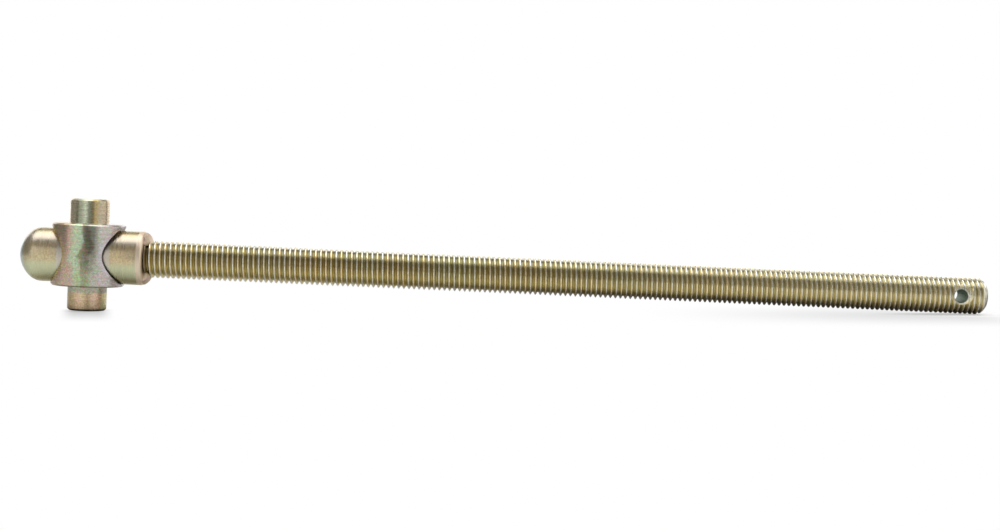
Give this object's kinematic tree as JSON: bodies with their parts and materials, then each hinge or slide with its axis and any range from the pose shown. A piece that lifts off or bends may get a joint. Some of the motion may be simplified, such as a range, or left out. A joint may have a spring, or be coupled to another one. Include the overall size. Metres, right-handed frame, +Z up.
{
  "type": "lift screw with trunnion",
  "caption": "Long threaded lift screw turning in a trunnion block with two pins, with a domed cap on one side, a welded collar on the other and a cross hole at the free end.",
  "frame": {"origin": "centre of the lower trunnion pin's end face", "axes": "+Z up along the trunnion pins, +X along the screw towards its free end, +Y away from the side that the picture shows"},
  "size_m": [0.4853, 0.0352, 0.055],
  "materials": {
    "rod_zinc": "yellow zinc plated rolled thread",
    "head_zinc": "turned, yellow zinc plated",
    "weld_zinc": "weld beads, yellow zinc plated",
    "block_zinc": "turned, zinc plated with green and violet tints"
  },
  "bodies": {
    "trunnion": {"trunnion_block": "block_zinc"},
    "screw": {"threaded_rod": "rod_zinc", "shoulder_collar": "head_zinc", "weld_beads": "weld_zinc", "domed_cap": "head_zinc"}
  },
  "joints": [
    {"name": "screw_turn", "type": "hinge", "parent": "trunnion", "child": "screw", "pos_m": [0, 0, 0.0268], "axis": [1, 0, 0], "continuous": true}
  ]
}
